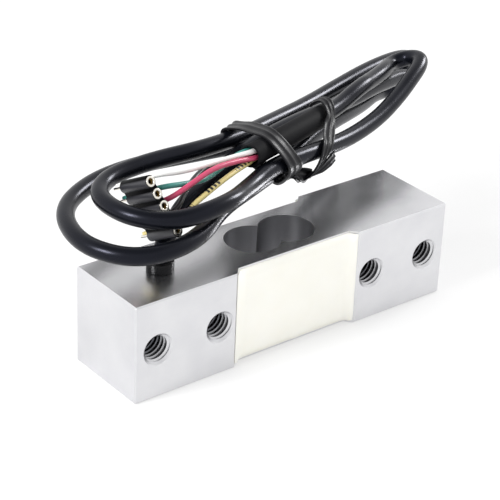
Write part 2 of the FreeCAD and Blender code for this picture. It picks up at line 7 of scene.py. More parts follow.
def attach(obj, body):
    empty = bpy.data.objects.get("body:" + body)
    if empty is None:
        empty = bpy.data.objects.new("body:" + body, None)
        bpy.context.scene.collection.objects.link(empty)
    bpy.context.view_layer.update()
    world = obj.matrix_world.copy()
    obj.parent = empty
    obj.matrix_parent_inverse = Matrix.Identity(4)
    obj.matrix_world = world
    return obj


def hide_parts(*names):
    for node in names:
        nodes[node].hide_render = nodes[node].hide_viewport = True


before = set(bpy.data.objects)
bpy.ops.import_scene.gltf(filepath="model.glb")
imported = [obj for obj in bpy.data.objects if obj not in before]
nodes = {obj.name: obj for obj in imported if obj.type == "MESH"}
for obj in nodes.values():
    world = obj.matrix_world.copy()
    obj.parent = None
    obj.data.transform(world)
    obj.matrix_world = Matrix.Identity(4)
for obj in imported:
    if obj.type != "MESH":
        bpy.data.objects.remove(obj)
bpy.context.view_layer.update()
MM = 0.001


# ---- Camera ------------------------------------------------------------------------------------------
# A long lens on a stand, a little above the bench, that looks at the cable end and the front face of the
# beam. The camera is tipped by about two degrees, as in the photograph.
CAMERA_AIM = Vector((-4.542, 0, 17.756)) * MM
CAMERA_DISTANCE = 342.64 * MM
CAMERA_TURN, CAMERA_HEIGHT, CAMERA_TIP = (math.radians(angle) for angle in (-39.205, 27.875, 2.477))
CAMERA_LENS = 130.2

turn_and_tilt = Matrix.Rotation(CAMERA_TURN, 3, "Z") @ Matrix.Rotation(math.pi / 2 - CAMERA_HEIGHT, 3, "X")
camera_axes = turn_and_tilt @ Matrix.Rotation(CAMERA_TIP, 3, "Z")
camera = bpy.data.objects.new("camera", bpy.data.cameras.new("camera"))
camera.data.lens = CAMERA_LENS
camera.data.clip_start = 0.01
camera.matrix_world = camera_axes.to_4x4()
camera.location = CAMERA_AIM + camera_axes.col[2] * CAMERA_DISTANCE
bpy.context.scene.collection.objects.link(camera)
bpy.context.scene.camera = camera


# ---- Beam --------------------------------------------------------------------------------------------
# The sensing body: a sawn bar of aluminium alloy, milled on all sides, with its edges broken by hand. Two
# overlapping bores thin the walls in its middle, and four holes are tapped M6 from face to face for the screws.
HOLE_PLACES = (-32.5, -18.5, 18.5, 32.5)
HOLE_HEIGHT = 10
THREAD_PITCH = 1.0
THREAD_ROOT_RADIUS = 3.02
THREAD_CREST_RADIUS = 2.42
THREAD_FOOT = 0.86
THREAD_TIP = 0.14
THREAD_TURNS = 22
TAP_REACH = THREAD_ROOT_RADIUS + 0.1
BORE_REACH = (9.7, 5.6)
INSIDE_HEIGHTS = (0.2, 19.8)
# painted shade in the holes: where it begins in a tapped hole, how far it takes to reach full strength, and its
# strength in the bores
SHADE_FROM, SHADE_FADE = 8.9, 3.5
BORE_SHADE = 0.25


def alone(piece):
    """Selects one object only and makes it the active one."""
    bpy.ops.object.select_all(action="DESELECT")
    piece.select_set(True)
    bpy.context.view_layer.objects.active = piece


def finish_with(piece, kind, **settings):
    """Adds a modifier with its settings and applies it."""
    alone(piece)
    modifier = piece.modifiers.new(kind.lower(), kind)
    for name, value in settings.items():
        setattr(modifier, name, value)
    bpy.ops.object.modifier_apply(modifier=modifier.name)


def machined_copy(node, name):
    """A copy of a CAD node as a new piece: its loose triangles are merged and its flat faces made whole."""
    piece = bpy.data.objects.new(name, nodes[node].data.copy())
    bpy.context.scene.collection.objects.link(piece)
    alone(piece)
    bpy.ops.mesh.customdata_custom_splitnormals_clear()
    bpy.ops.object.mode_set(mode="EDIT")
    bpy.ops.mesh.select_all(action="SELECT")
    bpy.ops.mesh.remove_doubles(threshold=0.002 * MM)
    bpy.ops.mesh.dissolve_limited(angle_limit=math.radians(0.4))
    bpy.ops.object.mode_set(mode="OBJECT")
    return piece


def smoothed(piece, angle):
    """Shades a piece smoothly, apart from edges sharper than the angle in degrees."""
    alone(piece)
    bpy.ops.object.shade_smooth_by_angle(angle=math.radians(angle))


def linear(code):
    """An sRGB hex colour as linear red, green and blue, with an alpha of one."""
    channels = [int(code[place:place + 2], 16) / 255 for place in (1, 3, 5)]
    return tuple(c / 12.92 if c <= 0.04045 else ((c + 0.055) / 1.055) ** 2.4 for c in channels) + (1.0,)


def add_node(tree, kind, inputs=None, **settings):
    """Adds a shader node with its settings; an input is a plain value or the output socket that feeds it."""
    node = tree.nodes.new("ShaderNode" + kind)
    for name, value in settings.items():
        setattr(node, name, value)
    for socket, value in (inputs or {}).items():
        if isinstance(value, bpy.types.NodeSocket):
            tree.links.new(value, node.inputs[socket])
        else:
            node.inputs[socket].default_value = value
    return node


def new_material(name):
    """An empty material with its output; gives the material, its tree and the shader's place on the output."""
    material = bpy.data.materials.new(name)
    material.use_nodes = True
    material.node_tree.nodes.clear()
    output = add_node(material.node_tree, "OutputMaterial")
    return material, material.node_tree, output.inputs["Surface"]


def mottled(tree, size, detail, colours, span=(0.0, 1.0)):
    """Noise in patches of about that size in millimetres, and a colour that runs with it: the two output sockets."""
    place = add_node(tree, "TexCoord").outputs["Object"]
    noise = add_node(tree, "TexNoise", {"Vector": place, "Scale": 1 / (size * MM), "Detail": detail}).outputs["Fac"]
    tone = add_node(tree, "ValToRGB", {"Fac": noise})
    for stop, position, colour in zip(tone.color_ramp.elements, span, colours):
        stop.position, stop.color = position, linear(colour)
    return noise, tone.outputs["Color"]


def dress(piece, material):
    """Gives every face of a piece one material."""
    piece.data.materials.clear()
    piece.data.materials.append(material)
    for polygon in piece.data.polygons if piece.type == "MESH" else ():
        polygon.material_index = 0


# one thread groove: its section is swept round the hole's axis along +Y, a pitch for each turn
bpy.ops.object.select_all(action="DESELECT")
bpy.ops.mesh.primitive_plane_add(size=1)
thread = bpy.context.object
thread.name = "thread_cutter"
groove_middle = (THREAD_ROOT_RADIUS + THREAD_CREST_RADIUS) / 2
bpy.ops.object.mode_set(mode="EDIT")
bpy.ops.transform.resize(
    value=((THREAD_ROOT_RADIUS - THREAD_CREST_RADIUS) * MM, THREAD_FOOT * MM, 1), center_override=(0, 0, 0))
bpy.ops.transform.translate(value=(groove_middle * MM, -THREAD_TURNS / 2 * THREAD_PITCH * MM, 0))
bpy.ops.mesh.delete(type="ONLY_FACE")
bpy.ops.object.mode_set(mode="OBJECT")
for corner in thread.data.vertices:
    corner.select = corner.co.x > groove_middle * MM
bpy.ops.object.mode_set(mode="EDIT")
bpy.ops.transform.resize(
    value=(1, THREAD_TIP / THREAD_FOOT, 1), center_override=(0, -THREAD_TURNS / 2 * THREAD_PITCH * MM, 0))
bpy.ops.object.mode_set(mode="OBJECT")
finish_with(
    thread, "SCREW", axis="Y", angle=2 * math.pi, screw_offset=THREAD_PITCH * MM, iterations=THREAD_TURNS,
    steps=40, render_steps=40, use_normal_calculate=True)
bpy.ops.object.mode_set(mode="EDIT")
bpy.ops.mesh.select_all(action="SELECT")
bpy.ops.mesh.remove_doubles(threshold=0.001 * MM)
bpy.ops.mesh.select_all(action="SELECT")
bpy.ops.mesh.fill_holes(sides=0)
bpy.ops.mesh.select_all(action="SELECT")
bpy.ops.mesh.normals_make_consistent(inside=False)
bpy.ops.object.mode_set(mode="OBJECT")
taps = []
for place in HOLE_PLACES:
    alone(thread)
    bpy.ops.object.duplicate()
    tap = bpy.context.object
    tap.location = Vector((place, 0, HOLE_HEIGHT)) * MM
    bpy.ops.object.transform_apply(location=True, rotation=True, scale=True)
    taps.append(tap)
for tap in taps:
    tap.select_set(True)
bpy.context.view_layer.objects.active = taps[0]
bpy.ops.object.join()

beam = machined_copy("beam_body", "beam")
finish_with(beam, "BOOLEAN", operation="DIFFERENCE", solver="EXACT", object=taps[0])
for cutter in (thread, taps[0]):
    bpy.data.objects.remove(cutter)
smoothed(beam, 28)
# how far a face lies inside a tapped hole or a bore: the tools leave it smoother there, and its colour is darkened
# there as painted shade, most deep inside the tapped holes
bored = beam.data.attributes.new("bored", "FLOAT", "FACE")
for polygon, mark in zip(beam.data.polygons, bored.data):
    across, depth, height = polygon.center / MM
    in_tap = any(math.hypot(across - hole, height - HOLE_HEIGHT) < TAP_REACH for hole in HOLE_PLACES)
    inside = INSIDE_HEIGHTS[0] < height < INSIDE_HEIGHTS[1]
    if in_tap:
        mark.value = min(max((SHADE_FROM - abs(depth)) / SHADE_FADE, 0), 1)
    elif inside and abs(across) < BORE_REACH[0] and abs(depth) < BORE_REACH[1]:
        mark.value = BORE_SHADE
# the top and underside were ground after milling, so they mirror the cable more sharply
ground = beam.data.attributes.new("ground", "FLOAT", "FACE")
for polygon, mark in zip(beam.data.polygons, ground.data):
    inside = INSIDE_HEIGHTS[0] < polygon.center.z / MM < INSIDE_HEIGHTS[1]
    mark.value = abs(polygon.normal.z) > 0.95 and not inside

# Milled aluminium alloy: a bright, slightly blurred metal with faint cutter lines along the bar. The real lines
# are some hundredths of a millimetre apart; they are drawn 0.35 mm apart, so that they show at all.
aluminium, tree, surface = new_material("milled_aluminium")
tone = mottled(tree, 7, 4.0, ("#d9d9dc", "#e1e1e3"), (0.3, 0.7))[1]
place = add_node(tree, "TexCoord").outputs["Object"]
stretched = add_node(tree, "Mapping", {"Vector": place, "Scale": (1 / (9 * MM), 1 / (0.35 * MM), 1 / (0.35 * MM))})
cutter_lines = add_node(tree, "TexNoise", {"Vector": stretched.outputs["Vector"], "Scale": 1.0, "Detail": 3.0})
gloss = add_node(tree, "MapRange", {"Value": cutter_lines.outputs["Fac"], "To Min": 0.26, "To Max": 0.44})
shade_and_polish = add_node(tree, "Attribute", attribute_name="bored").outputs["Fac"]
# painted shade: faces inside the holes and bores are mixed towards dark grey, the more the deeper they lie
shaded_tone = add_node(tree, "Mix", {0: shade_and_polish, 6: tone, 7: linear("#5d5e63")}, data_type="RGBA")
wheel = add_node(tree, "Attribute", attribute_name="ground").outputs["Fac"]
gloss = add_node(tree, "Mix", {0: wheel, 2: gloss.outputs["Result"], 3: 0.26})
reamed = add_node(tree, "Mix", {0: shade_and_polish, 2: gloss.outputs[0], 3: 0.2})
relief = add_node(tree, "Bump", {"Height": cutter_lines.outputs["Fac"], "Strength": 0.12, "Distance": 0.02 * MM})
shader = add_node(tree, "BsdfPrincipled", {
    "Base Color": shaded_tone.outputs[2], "Metallic": 1.0, "Roughness": reamed.outputs[0],
    "Normal": relief.outputs["Normal"]})
tree.links.new(shader.outputs["BSDF"], surface)
dress(beam, aluminium)
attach(beam, "root")
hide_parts("beam_body")


# ---- Gauges, terminal boards, leads and cores --------------------------------------------------------
# Four foil gauges on amber film, glued to the recess floors, with tinned leads to two small laminate boards
# and the cable's cores soldered there. They lie under the silicone and are only seen with it taken off.

# Amber film, straw-coloured laminate, bright tin and pale PVC, each slightly mottled. Each entry gives two colours,
# the roughness, how metallic it is, and the nodes that wear it.
BURIED_FINISHES = {
    "polyimide_gauge_film": (("#b5772a", "#d39a44"), 0.30, 0.0, ("gauge_front_left", "gauge_front_right",
                                                               "gauge_rear_left", "gauge_rear_right")),
    "glass_laminate": (("#b7a45c", "#cdbb78"), 0.55, 0.0, ("terminal_front", "terminal_rear")),
    "tinned_copper": (("#c9c5bd", "#dedbd4"), 0.25, 1.0, ("lead_front_left", "lead_front_right",
                                                         "lead_rear_left", "lead_rear_right")),
    "core_pvc": (("#d5d5d2", "#e4e4e1"), 0.40, 0.0, ("cores_front", "cores_rear")),
}
for finish, (colours, roughness, metal, worn_by) in BURIED_FINISHES.items():
    material, tree, surface = new_material(finish)
    tone = mottled(tree, 0.6, 3.0, colours)[1]
    shader = add_node(tree, "BsdfPrincipled", {"Base Color": tone, "Metallic": metal, "Roughness": roughness})
    tree.links.new(shader.outputs["BSDF"], surface)
    for node in worn_by:
        dress(nodes[node], material)


# ---- Silicone ----------------------------------------------------------------------------------------
# Creamy white silicone, poured into the two recesses over the gauges and left to cure. It creeps up the ends of
# the recess and is softly uneven.
SILICONE_VOXEL = 0.28
SILICONE_WAVE = 0.10
SILICONE_HEIGHTS = (0.4, 19.6)
SILICONE_BROW = 1.9
SILICONE_THINNING = 0.55
SILICONE_FACE, SILICONE_HALF_LENGTH = 7.9, 13.6
wave = bpy.data.textures.new("silicone_wave", "CLOUDS")
wave.noise_scale = 4 * MM
wave.noise_depth = 1
# Cured silicone: warm white and softly satin, with a little light let into it and a faint skin on top
silicone, tree, surface = new_material("cured_silicone")
tone = mottled(tree, 5, 3.0, ("#f8f6ec", "#fcfbf4"))[1]
place = add_node(tree, "TexCoord").outputs["Object"]
skin = add_node(tree, "TexNoise", {"Vector": place, "Scale": 1 / (0.5 * MM), "Detail": 2.0})
relief = add_node(tree, "Bump", {"Height": skin.outputs["Fac"], "Strength": 0.1, "Distance": 0.03 * MM})
shader = add_node(tree, "BsdfPrincipled", {
    "Base Color": tone, "Roughness": 0.45, "IOR": 1.41, "Normal": relief.outputs["Normal"],
    "Subsurface Weight": 0.15, "Subsurface Radius": (1.0, 0.9, 0.7), "Subsurface Scale": 0.6 * MM})
tree.links.new(shader.outputs["BSDF"], surface)
for side in ("front", "rear"):
    fill = machined_copy("potting_" + side, "silicone_" + side)
    finish_with(fill, "REMESH", mode="VOXEL", voxel_size=SILICONE_VOXEL * MM)
    # the pour thins out towards its upper and lower edges
    for corner in fill.data.vertices:
        across, depth, height = corner.co / MM
        edge = min(height - SILICONE_HEIGHTS[0], SILICONE_HEIGHTS[1] - height) / SILICONE_BROW
        if edge < 1 and abs(depth) > SILICONE_FACE and abs(across) < SILICONE_HALF_LENGTH:
            corner.co.y -= math.copysign(SILICONE_THINNING * (1 - max(edge, 0)) ** 2 * MM, corner.co.y)
    finish_with(fill, "SMOOTH", factor=0.5, iterations=6)
    finish_with(
        fill, "DISPLACE", texture=wave, texture_coords="LOCAL", strength=SILICONE_WAVE * MM, mid_level=0.2)
    smoothed(fill, 60)
    dress(fill, silicone)
    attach(fill, "root")
    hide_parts("potting_" + side)


# ---- Grommet -----------------------------------------------------------------------------------------
# A soft black bush, pressed into the cable hole, with a rounded head that stands on the top face round the
# cable. It is moulded rubber, glossy where it was wiped.
grommet = machined_copy("cable_grommet", "grommet")
finish_with(
    grommet, "BEVEL", width=0.45 * MM, segments=5, limit_method="ANGLE", angle_limit=math.radians(35))
smoothed(grommet, 40)
# Moulded rubber: deep black, with a patchy gloss
rubber, tree, surface = new_material("moulded_rubber")
place = add_node(tree, "TexCoord").outputs["Object"]
bloom = add_node(tree, "TexNoise", {"Vector": place, "Scale": 1 / (1.2 * MM), "Detail": 4.0})
gloss = add_node(tree, "MapRange", {"Value": bloom.outputs["Fac"], "To Min": 0.16, "To Max": 0.38})
shader = add_node(tree, "BsdfPrincipled", {
    "Base Color": linear("#0d0d0f"), "Roughness": gloss.outputs["Result"], "IOR": 1.52,
    "Specular IOR Level": 0.2})
tree.links.new(shader.outputs["BSDF"], surface)
dress(grommet, rubber)
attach(grommet, "root")
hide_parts("cable_grommet")


# ---- Cable -------------------------------------------------------------------------------------------
# Round four-core cable with a screen, in a black PVC jacket 3.4 mm thick and about two thirds of a metre long. It
# rises from the grommet and is folded by hand into a loose hank above the beam, in six strands.
CABLE_DIAMETER = 3.4
CABLE_ROUTE = (
    # rise from the hole, leaning to the right
    (-25.5, 0, 9), (-25.5, 0, 17.5), (-25.48, 0.03, 23.8), (-22.3, 1.3, 26.4), (-17.6, 4.4, 29.1),
    (-7.8, 8.2, 30.2),
    # middle strand
    (2.9, 12.3, 31.8), (15, 15.6, 32.3), (27.2, 18.6, 31.8), (38.4, 21.8, 30.8), (48.2, 25.5, 30.2),
    (54.3, 27.9, 29.2), (58.6, 29.7, 28.5),
    # inner fold at the right
    (63.1, 30.8, 27.3), (63.6, 34.4, 24.7), (60.2, 35.8, 22.5),
    # strand below the middle one
    (56.1, 34.1, 23.4), (49.6, 30.3, 24.1), (41.6, 25.6, 25.8), (31.3, 20.2, 27.7), (20.1, 14.5, 28.5),
    (9.2, 8.4, 28.4), (-2.4, 3.3, 28.8),
    # wide loop at the left
    (-13.6, -2.2, 30), (-23.8, -9.5, 30), (-33.4, -10.9, 30), (-39.6, -7.5, 30), (-42.5, 1.3, 30),
    (-38.4, 13.2, 30), (-27.8, 20.3, 29.8),
    # back strand, under the others
    (-15.4, 23.5, 29), (-2.9, 22, 28.7), (9.6, 22, 27.6), (21.8, 25.3, 25.9), (33.5, 29.3, 24.2),
    (45.3, 33.9, 22.6), (54.7, 37.5, 21.2), (61.6, 39.7, 20.3), (66.8, 41.3, 19.9),
    # rear fold at the right
    (71.1, 42.6, 20.3), (73.4, 42, 23.4), (72.3, 39.9, 26.6),
    # rear strand
    (67.6, 38.2, 28.4), (60.7, 36.2, 29.3), (52.7, 34, 29.6), (42.3, 30.8, 29.5), (30.5, 26.5, 29.8),
    (18.8, 22, 31), (7.2, 17.3, 32.4), (-4.9, 13.9, 33.8),
    # upper loop at the left
    (-17.6, 14.3, 34.2), (-28.5, 13, 34.2), (-34.5, 7.5, 34.1), (-34.6, -2.4, 34.3), (-28.6, -8.6, 34),
    # front strand
    (-16.9, -8.8, 34.7), (-6.9, -1.9, 32.4), (1.4, 1.7, 33.05), (13.4, 4.7, 31.7), (25.2, 8.4, 29.8),
    (37.3, 12.4, 29.9), (46.5, 16, 31.8), (52.1, 18.5, 33.5),
    # outer fold at the right
    (56.6, 20.8, 34.6), (59, 23.3, 35.1), (58.5, 27.1, 34), (54.9, 28.3, 32.8),
    # last strand, into the sleeve
    (50.2, 24.8, 33.7), (43.8, 21.7, 34), (38.5, 19.1, 34.7), (28.5, 15.6, 33.15), (17.77, 11.32, 34.1),
    (8.05, 7.35, 34.97),
)


def laid_cord(name, route, diameter, rings):
    """A round cord as one open NURBS spline along its route."""
    line = bpy.data.curves.new(name, "CURVE")
    line.dimensions = "3D"
    line.bevel_depth = diameter / 2 * MM
    line.bevel_resolution = rings
    line.use_fill_caps = True
    spline = line.splines.new("NURBS")
    spline.points.add(len(route) - 1)
    for point, place in zip(spline.points, route):
        point.co = (*(Vector(place) * MM), 1)
    spline.order_u = 3
    spline.use_endpoint_u = True
    spline.resolution_u = 20
    cord = bpy.data.objects.new(name, line)
    bpy.context.scene.collection.objects.link(cord)
    return cord


cable = laid_cord("cable", CABLE_ROUTE, CABLE_DIAMETER, 12)
# Extruded PVC: smooth and fairly glossy, with faint drag marks and a slightly dull bloom from handling
jacket, tree, surface = new_material("cable_jacket_pvc")
bloom, tone = mottled(tree, 8, 1.0, ("#08090c", "#0e1016"))
gloss = add_node(tree, "MapRange", {"Value": bloom, "To Min": 0.22, "To Max": 0.32})
place = add_node(tree, "TexCoord").outputs["Object"]
drag = add_node(tree, "TexNoise", {"Vector": place, "Scale": 1 / (6 * MM), "Detail": 1.0})
relief = add_node(tree, "Bump", {"Height": drag.outputs["Fac"], "Strength": 0.02, "Distance": 0.005 * MM})
shader = add_node(tree, "BsdfPrincipled", {
    "Base Color": tone, "Roughness": gloss.outputs["Result"], "IOR": 1.53, "Specular IOR Level": 0.18,
    "Specular Tint": linear("#e4e6ff"), "Normal": relief.outputs["Normal"]})
tree.links.new(shader.outputs["BSDF"], surface)
dress(cable, jacket)
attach(cable, "root")
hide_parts("signal_cable")


# ---- Sleeve ------------------------------------------------------------------------------------------
# A short length of black heat-shrink tube over the end of the cable jacket. It is a dull, slightly pebbled
# polyolefin, cut square, with the five wires coming out of its open mouth.
SLEEVE_HEADING = (Vector(CABLE_ROUTE[-1]) - Vector(CABLE_ROUTE[-2])).normalized()
SLEEVE_LIP, SLEEVE_MOUTH_REACH = 1.4, 0.3
sleeve = machined_copy("cable_sleeve", "shrink_sleeve")
# the tube's mouth stands out a little over the wires
mouth = max(corner.co.dot(SLEEVE_HEADING) for corner in sleeve.data.vertices)
for corner in sleeve.data.vertices:
    if corner.co.dot(SLEEVE_HEADING) > mouth - SLEEVE_MOUTH_REACH * MM:
        corner.co += SLEEVE_HEADING * SLEEVE_LIP * MM
finish_with(
    sleeve, "BEVEL", width=0.12 * MM, segments=3, limit_method="ANGLE", angle_limit=math.radians(35))
smoothed(sleeve, 40)
# Shrunk polyolefin: dull black, finely pebbled, with hardly a highlight
shrink, tree, surface = new_material("heat_shrink_polyolefin")
pebble, tone = mottled(tree, 0.5, 3.0, ("#0c0c0e", "#141417"))
relief = add_node(tree, "Bump", {"Height": pebble, "Strength": 0.2, "Distance": 0.03 * MM})
shader = add_node(tree, "BsdfPrincipled", {
    "Base Color": tone, "Roughness": 0.65, "IOR": 1.5, "Specular IOR Level": 0.08,
    "Normal": relief.outputs["Normal"]})
tree.links.new(shader.outputs["BSDF"], surface)
dress(sleeve, shrink)
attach(sleeve, "root")
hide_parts("cable_sleeve")


# ---- Socket strip ------------------------------------------------------------------------------------
# A five-way strip of turned sockets on a 2.54 mm pitch: round barrels of black moulded plastic joined by a web,
# each with a bright turned contact pressed in and a gilt spring clip inside its mouth.
STRIP_START = Vector((-29.46, 8.19, 34.41))
STRIP_STEP = Vector((0.765, -1.05, -2.182))
housing = machined_copy("socket_housing", "socket_strip")
finish_with(
    housing, "BEVEL", width=0.1 * MM, segments=2, limit_method="ANGLE", angle_limit=math.radians(35))
smoothed(housing, 40)
# Moulded polyester: dark grey and slightly grainy, with a low sheen on the barrels. The grooves between them, halfway
# from one barrel to the next along the strip, carry painted shade: their colour is mixed towards near-black.
moulding, tree, surface = new_material("moulded_polyester")
grain, tone = mottled(tree, 0.4, 3.0, ("#232327", "#303035"))
place = add_node(tree, "TexCoord").outputs["Object"]
along = add_node(tree, "VectorMath", {
    0: place, 1: STRIP_STEP / STRIP_STEP.length_squared / MM}, operation="DOT_PRODUCT")
along = add_node(tree, "Math", {
    0: along.outputs["Value"], 1: STRIP_START.dot(STRIP_STEP) / STRIP_STEP.length_squared}, operation="SUBTRACT")
along = add_node(tree, "Math", {0: along.outputs[0], 1: 0.5}, operation="PINGPONG")
groove = add_node(tree, "MapRange", {"Value": along.outputs[0], "From Min": 0.26, "From Max": 0.37})
sheen = add_node(tree, "MapRange", {"Value": groove.outputs[0], "To Min": 0.45, "To Max": 0.03})
# painted shade: the grooves between the barrels are mixed towards near-black
groove_shaded = add_node(tree, "Mix", {0: groove.outputs[0], 6: tone, 7: linear("#060607")}, data_type="RGBA")
relief = add_node(tree, "Bump", {"Height": grain, "Strength": 0.15, "Distance": 0.02 * MM})
shader = add_node(tree, "BsdfPrincipled", {
    "Base Color": groove_shaded.outputs[2], "Roughness": 0.38, "IOR": 1.55, "Specular IOR Level": sheen.outputs[0],
    "Normal": relief.outputs["Normal"]})
tree.links.new(shader.outputs["BSDF"], surface)
dress(housing, moulding)
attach(housing, "root")
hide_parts("socket_housing")

# Bright plated rings that catch the light, and gilt clips inside them, whose gold is darkened as painted shade for
# the hollow they sit in. Each entry gives two colours, the roughness, the nodes and their slot.
METAL_FINISHES = {
    "turned_plated_contact": (("#e6e1d6", "#f3efe6"), 0.24, "socket_contact_%d", "contact_metal"),
    # painted shade: the clip's gold is darkened for the hollow mouth of the contact that it sits in
    "gilt_spring_clip": (("#6e5526", "#8f7138"), 0.3, "contact_clip_%d", "clip_metal"),
}
contacts = {}
for finish, (colours, roughness, node_name, slot_name) in METAL_FINISHES.items():
    material, tree, surface = new_material(finish)
    tone = mottled(tree, 0.3, 3.0, colours)[1]
    shader = add_node(tree, "BsdfPrincipled", {"Base Color": tone, "Metallic": 1.0, "Roughness": roughness})
    tree.links.new(shader.outputs["BSDF"], surface)
    for number in range(1, 6):
        contact = machined_copy(node_name % number, (node_name % number) + "_turned")
        finish_with(
            contact, "BEVEL", width=0.05 * MM, segments=2, limit_method="ANGLE", angle_limit=math.radians(30))
        smoothed(contact, 35)
        dress(contact, material)
        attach(contact, "root")
        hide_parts(node_name % number)
        contacts.setdefault(number, []).append(contact)


# ---- Wires -------------------------------------------------------------------------------------------
# Five thin stranded wires in coloured PVC, which fan out of the sleeve and turn behind the socket strip to its
# solder tails. The yellow one carries printed marks.
WIRE_DIAMETER = 1.02
WIRE_ROUTES = {
    "white": (
        (8.34, 6.76, 35.84), (3.29, 4.69, 36.3), (-1.75, 2.57, 36.83), (-7.78, 2.46, 36.95),
        (-14.75, 1.18, 37.74), (-21.24, 0, 38.51), (-26.41, 0.28, 39.29), (-27.55, 3.61, 37.28),
        (-28.19, 6.53, 35.65), (-29.46, 8.19, 34.41)),
    "green": (
        (7.85, 7.95, 35.87), (2.8, 5.89, 36.32), (-2.91, 3.65, 36.86), (-6.3, 4.1, 36), (-10.2, 2.9, 35),
        (-15.33, 0.88, 34.89), (-20.84, -0.45, 36.2), (-25.64, -0.77, 37.1), (-26.78, 2.56, 35.1),
        (-27.42, 5.48, 33.47), (-28.7, 7.14, 32.22)),
    "red": (
        (8.38, 6.37, 34.62), (3.34, 4.31, 35.07), (-1.7, 2.15, 35.48), (-8.33, 0.84, 36.92),
        (-14.47, -0.57, 37.66), (-20.12, -1.87, 36.68), (-24.88, -1.82, 34.92), (-26.02, 1.51, 32.92),
        (-26.66, 4.43, 31.29), (-27.93, 6.09, 30.04)),
    "black": (
        (7.6, 8.3, 34.65), (2.56, 6.24, 35.11), (-3.22, 3.89, 35.61), (-6.3, 5, 34.7), (-10.6, 5, 35.2),
        (-15.04, 3.42, 35.11), (-20.6, -0.3, 34.35), (-24.11, -2.87, 32.74), (-25.26, 0.46, 30.73),
        (-25.9, 3.38, 29.1), (-27.17, 5.04, 27.86)),
    "yellow": (
        (7.93, 7.32, 33.87), (2.89, 5.26, 34.33), (-2.2, 3.19, 34.68), (-7.6, 0.78, 35.13),
        (-12.66, -1.04, 34.85), (-17.63, -2.54, 33.98), (-20.94, -2.83, 32.6), (-23.35, -3.92, 30.56),
        (-24.49, -0.59, 28.55), (-25.13, 2.33, 26.92), (-26.4, 3.99, 25.68)),
}
WIRE_COLOURS = {
    "white": ("#e2e2e0", "#ececea"), "green": ("#357f77", "#449289"), "red": ("#b8385c", "#c8476c"),
    "black": ("#0e0e10", "#161619"), "yellow": ("#d3c27c", "#e4d595"),
}
MARK_STROKES, MARK_GROUPS, MARK_ROWS = 44, 5, 2
STROKE_SHARE, GROUP_SHARE, ROW_SHARE = 0.55, 0.5, 0.7
for number, (colour, route) in enumerate(WIRE_ROUTES.items(), start=1):
    wire = laid_cord("wire_%s_insulated" % colour, route, WIRE_DIAMETER, 4)
    # thin PVC insulation: a plain, evenly glossy colour with a slight bloom
    material, tree, surface = new_material("%s_wire_pvc" % colour)
    paint = mottled(tree, 2, 3.0, WIRE_COLOURS[colour])[1]
    if colour == "yellow":
        # groups of short black strokes in two rows; the curve's own UV runs along the wire and round it
        along = add_node(tree, "SeparateXYZ", {"Vector": add_node(tree, "TexCoord").outputs["UV"]})
        printed = 1.0
        for axis, count, share in (
                ("X", MARK_STROKES, STROKE_SHARE), ("X", MARK_GROUPS, GROUP_SHARE), ("Y", MARK_ROWS, ROW_SHARE)):
            steps = add_node(tree, "Math", {0: along.outputs[axis], 1: count}, operation="MULTIPLY")
            part = add_node(tree, "Math", {0: steps.outputs[0]}, operation="FRACT")
            inked = add_node(tree, "Math", {0: part.outputs[0], 1: share}, operation="LESS_THAN")
            printed = add_node(tree, "Math", {0: inked.outputs[0], 1: printed}, operation="MULTIPLY").outputs[0]
        ink = add_node(tree, "Mix", {0: printed, 6: paint, 7: linear("#1a1712")}, data_type="RGBA")
        paint = ink.outputs[2]
    shader = add_node(tree, "BsdfPrincipled", {"Base Color": paint, "Roughness": 0.34, "IOR": 1.53})
    tree.links.new(shader.outputs["BSDF"], surface)
    dress(wire, material)
    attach(wire, "root")
    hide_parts("wire_" + colour)


# ---- Twist tie ---------------------------------------------------------------------------------------
# A flat black plastic strap with a wire down its middle. It goes once round the hank, its ends are twisted together
# at the front, and one of them is led up over the sleeve while the other is left sticking out.
STRAP_THICKNESS = 0.42
STRAP_ROWS = 18
STRAP_INSIDE = 2.47
TURN_WIDTH, TWIST_WIDTH, LED_UP_WIDTH, TAIL_WIDTH = 4.1, 2.9, 2.5, 2.9
STRAP_LIFT, RIB_HEIGHT, RIB_SPREAD = 0.08, 0.22, 0.1
BEAD_HEIGHT, BEAD_PLACE, BEAD_SPREAD = 0.12, 0.42, 0.06
STRAP_BOW = 0.06
HANK_ORIGIN = Vector((0, 6, 0))
HANK_TURN = Matrix.Rotation(math.radians(21), 3, "Z")
HANK_ACROSS, HANK_UP, HANK_ALONG = HANK_TURN.col[1], HANK_TURN.col[2], HANK_TURN.col[0]
# corners of the turn across the hank and up, and how its plane lies along the hank
TURN_CORNERS = (
    (8.4, 33), (-1.45, 35.95), (-2.05, 35.85), (-5.1, 32.55), (-1.3, 28.45), (4.5, 31), (8.35, 32.6))
TURN_AT = 21.65
TURN_SLOPE = (0.301, -0.492)
TURN_STEP, TURN_ROUNDINGS = 0.9, 3
CORNER_STEPS, BOWED_FROM = 4, 3
# points of the twist and of both strap ends: across the hank, up, along it, and the flat side's heading
TWIST_ENDS = ((-4.9, 28.9, 5.8), (-4.7, 25.6, 14.2))
TWIST_ANGLE, TWIST_STEPS, TWIST_SPREAD = 130, 8, 0.4
LED_UP = (
    (-5.2, 25.8, 12.6, 215), (-7.5, 28.3, 12.0, 205), (-8.35, 30.6, 12.7, 190), (-8.15, 32.55, 14.7, 150),
    (-6.9, 33.35, 17.4, 115), (-5.3, 34.0, 20.6, 120), (-4.25, 35.0, 23.0, 150), (-2.7, 36.5, 24.6, 115),
    (-0.9, 36.8, 25.7, 80), (1.2, 35.7, 26.4, 40), (1.95, 34.7, 26.6, 25))
TAIL = (
    (-4.9, 25.8, 12.4, 200), (-7.4, 27.6, 13.6, 190), (-8.5, 29.1, 15.2, 185), (-8.65, 29.85, 17, 185))


def heading(angle):
    """The way that an angle in degrees points, seen along the hank."""
    return Vector((math.cos(math.radians(angle)), math.sin(math.radians(angle)), 0))


